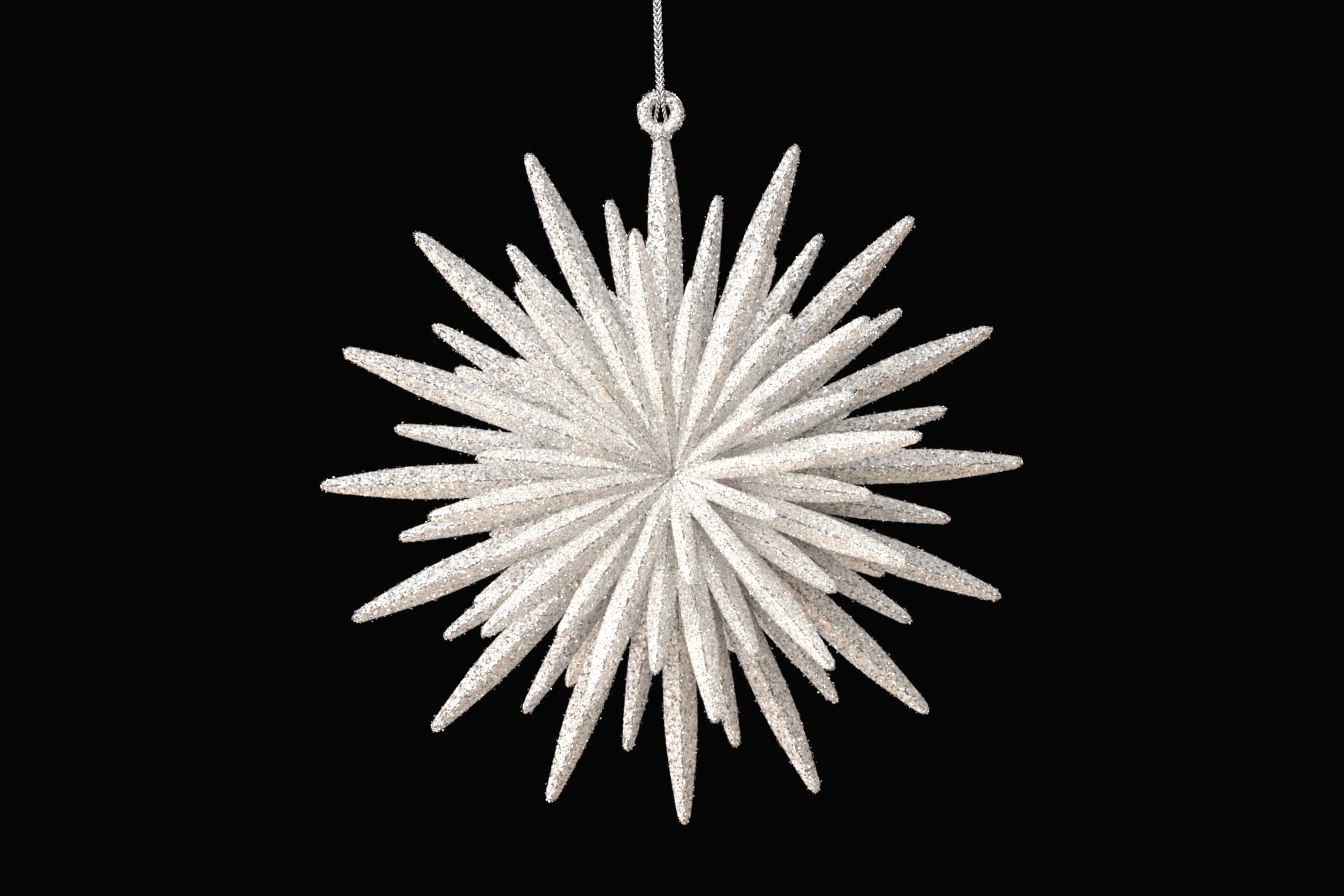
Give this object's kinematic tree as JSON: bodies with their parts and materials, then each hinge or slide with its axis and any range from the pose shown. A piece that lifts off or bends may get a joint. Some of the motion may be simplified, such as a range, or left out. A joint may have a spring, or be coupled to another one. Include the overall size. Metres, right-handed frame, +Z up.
{
  "type": "hanging starburst ornament",
  "caption": "Glitter-coated moulded starburst ornament with ridged spikes in stacked leaning layers on both faces, hung by a knotted metallic cord loop hitched to an integral ring.",
  "frame": {"origin": "the point where a hook bears inside the top of the cord loop", "axes": "+Z up along the hanging cord, +X to the right, the star lies in the XZ plane below the origin and its front faces -Y"},
  "size_m": [0.1498, 0.0606, 0.2223],
  "materials": {
    "glitter_plastic": "silver-white glitter coating over white moulded plastic",
    "glue": "clear set glue",
    "metallic_cord": "silver metallic twisted cord"
  },
  "bodies": {
    "hook_end": {"cord_knot": "metallic_cord", "cord_eye": "metallic_cord"},
    "upper_cord": {"cord_upper_length": "metallic_cord"},
    "middle_cord": {"cord_middle_length": "metallic_cord"},
    "lower_cord": {"cord_lower_length": "metallic_cord"},
    "star": {"main_star": "glitter_plastic", "front_middle_star": "glitter_plastic", "rear_middle_star": "glitter_plastic", "front_cap_star": "glitter_plastic", "rear_cap_star": "glitter_plastic", "front_middle_glue": "glue", "rear_middle_glue": "glue", "front_cap_glue": "glue", "rear_cap_glue": "glue", "cord_hitch": "metallic_cord"}
  },
  "joints": [
    {"name": "cord_swing_fore_aft", "type": "hinge", "parent": "hook_end", "child": "upper_cord", "pos_m": [0, 0, -0.014], "axis": [1, 0, 0], "range_deg": [-50, 50]},
    {"name": "cord_swing_sideways", "type": "hinge", "parent": "upper_cord", "child": "middle_cord", "pos_m": [0, 0, -0.02], "axis": [0, 1, 0], "range_deg": [-50, 50]},
    {"name": "cord_twist", "type": "hinge", "parent": "middle_cord", "child": "lower_cord", "pos_m": [0, 0, -0.033], "axis": [0, 0, 1], "range_deg": [-180, 180]},
    {"name": "star_rock", "type": "hinge", "parent": "lower_cord", "child": "star", "pos_m": [0, 0, -0.0513], "axis": [1, 0, 0], "range_deg": [-30, 30]}
  ]
}
